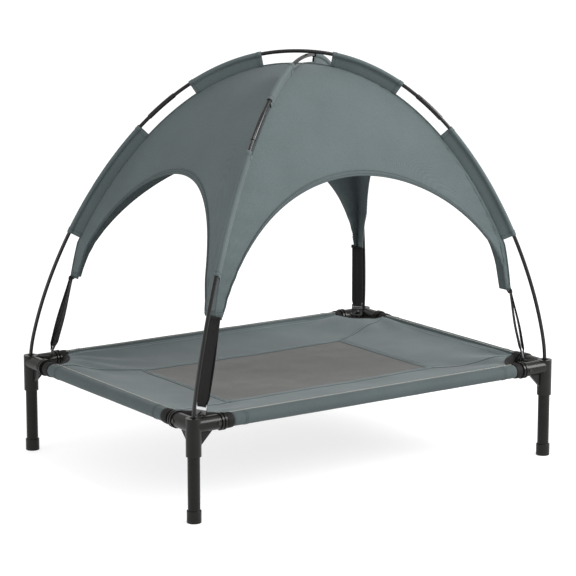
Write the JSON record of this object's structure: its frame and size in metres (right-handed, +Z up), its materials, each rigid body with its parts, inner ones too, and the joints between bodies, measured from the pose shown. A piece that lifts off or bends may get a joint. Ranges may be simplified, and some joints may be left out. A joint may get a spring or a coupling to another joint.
{
  "type": "raised pet bed with canopy",
  "caption": "Raised fabric cot for a pet on a black tube frame, with a domed canopy on crossed bent poles that lifts out of the corner connectors.",
  "frame": {"origin": "on the floor under the middle of the frame's footprint", "axes": "+X along the long side towards the right, +Y across towards the back, +Z up"},
  "size_m": [0.9256, 0.6956, 0.875],
  "materials": {
    "moulded_black": "semi-gloss",
    "tube_black": "gloss",
    "screw_steel": "satin",
    "binding_black": "matt woven tape",
    "bed_cloth": "matt plain weave",
    "mesh_cloth": "open mesh",
    "pole_black": "satin glass-fibre rod",
    "ferrule_black": "gloss",
    "cord_white": "braided",
    "canopy_cloth": "matt plain weave",
    "strap_black": "ribbed elastic",
    "plate_steel": "polished"
  },
  "bodies": {
    "bed": {"corner_connector_front_left": "moulded_black", "leg_tube_front_left": "tube_black", "foot_cap_front_left": "moulded_black", "corner_binding_front_left": "binding_black", "corner_connector_back_left": "moulded_black", "leg_tube_back_left": "tube_black", "foot_cap_back_left": "moulded_black", "corner_binding_back_left": "binding_black", "corner_connector_front_right": "moulded_black", "leg_tube_front_right": "tube_black", "foot_cap_front_right": "moulded_black", "corner_binding_front_right": "binding_black", "corner_connector_back_right": "moulded_black", "leg_tube_back_right": "tube_black", "foot_cap_back_right": "moulded_black", "corner_binding_back_right": "binding_black", "long_rail_front": "tube_black", "long_rail_back": "tube_black", "side_rail_left": "tube_black", "side_rail_right": "tube_black", "rail_screws": "screw_steel", "sling_strip_front": "bed_cloth", "sling_strip_back": "bed_cloth", "sling_end_left": "bed_cloth", "sling_end_right": "bed_cloth", "mesh_panel": "mesh_cloth"},
    "canopy": {"pole_top_a": "pole_black", "shock_cord_a": "cord_white", "pole_top_b": "pole_black", "shock_cord_b": "cord_white", "canopy_gore_front": "canopy_cloth", "canopy_gore_back": "canopy_cloth", "canopy_gore_left": "canopy_cloth", "canopy_gore_right": "canopy_cloth", "pole_lower_front_left": "pole_black", "pole_ferrule_front_left": "ferrule_black", "pole_sleeve_upper_front_left": "canopy_cloth", "pole_sleeve_lower_front_left": "canopy_cloth", "pole_lower_back_left": "pole_black", "pole_ferrule_back_left": "ferrule_black", "pole_sleeve_upper_back_left": "canopy_cloth", "pole_sleeve_lower_back_left": "canopy_cloth", "pole_lower_front_right": "pole_black", "pole_ferrule_front_right": "ferrule_black", "pole_sleeve_upper_front_right": "canopy_cloth", "pole_sleeve_lower_front_right": "canopy_cloth", "pole_lower_back_right": "pole_black", "pole_ferrule_back_right": "ferrule_black", "pole_sleeve_upper_back_right": "canopy_cloth", "pole_sleeve_lower_back_right": "canopy_cloth"},
    "strap_front_left": {"hold_strap_front_left": "strap_black", "strap_eye_plate_front_left": "plate_steel"},
    "strap_back_left": {"hold_strap_back_left": "strap_black", "strap_eye_plate_back_left": "plate_steel"},
    "strap_front_right": {"hold_strap_front_right": "strap_black", "strap_eye_plate_front_right": "plate_steel"},
    "strap_back_right": {"hold_strap_back_right": "strap_black", "strap_eye_plate_back_right": "plate_steel"}
  },
  "joints": [
    {"name": "canopy_lift", "type": "slide", "parent": "bed", "child": "canopy", "axis": [0, 0, 1], "range_m": [0, 0.048]},
    {"name": "strap_front_left_swing", "type": "hinge", "parent": "canopy", "child": "strap_front_left", "pos_m": [-0.36538, -0.28532, 0.39344], "axis": [0.3647, -0.9311, 0], "range_deg": [0, 24.5]},
    {"name": "strap_back_left_swing", "type": "hinge", "parent": "canopy", "child": "strap_back_left", "pos_m": [-0.3715, 0.2755, 0.38451], "axis": [-0.5957, -0.8032, 0], "range_deg": [0, 24.5]},
    {"name": "strap_front_right_swing", "type": "hinge", "parent": "canopy", "child": "strap_front_right", "pos_m": [0.38349, -0.28438, 0.36245], "axis": [0.5957, 0.8032, 0], "range_deg": [0, 24.5]},
    {"name": "strap_back_right_swing", "type": "hinge", "parent": "canopy", "child": "strap_back_right", "pos_m": [0.38611, 0.2735, 0.37391], "axis": [-0.8083, 0.5888, 0], "range_deg": [0, 24.5]}
  ],
  "couplings": [
    {"joint": "strap_front_left_swing", "follows": "canopy_lift", "rad_per_m": 8.7266},
    {"joint": "strap_back_left_swing", "follows": "canopy_lift", "rad_per_m": 8.7266},
    {"joint": "strap_front_right_swing", "follows": "canopy_lift", "rad_per_m": 8.7266},
    {"joint": "strap_back_right_swing", "follows": "canopy_lift", "rad_per_m": 8.7266}
  ]
}
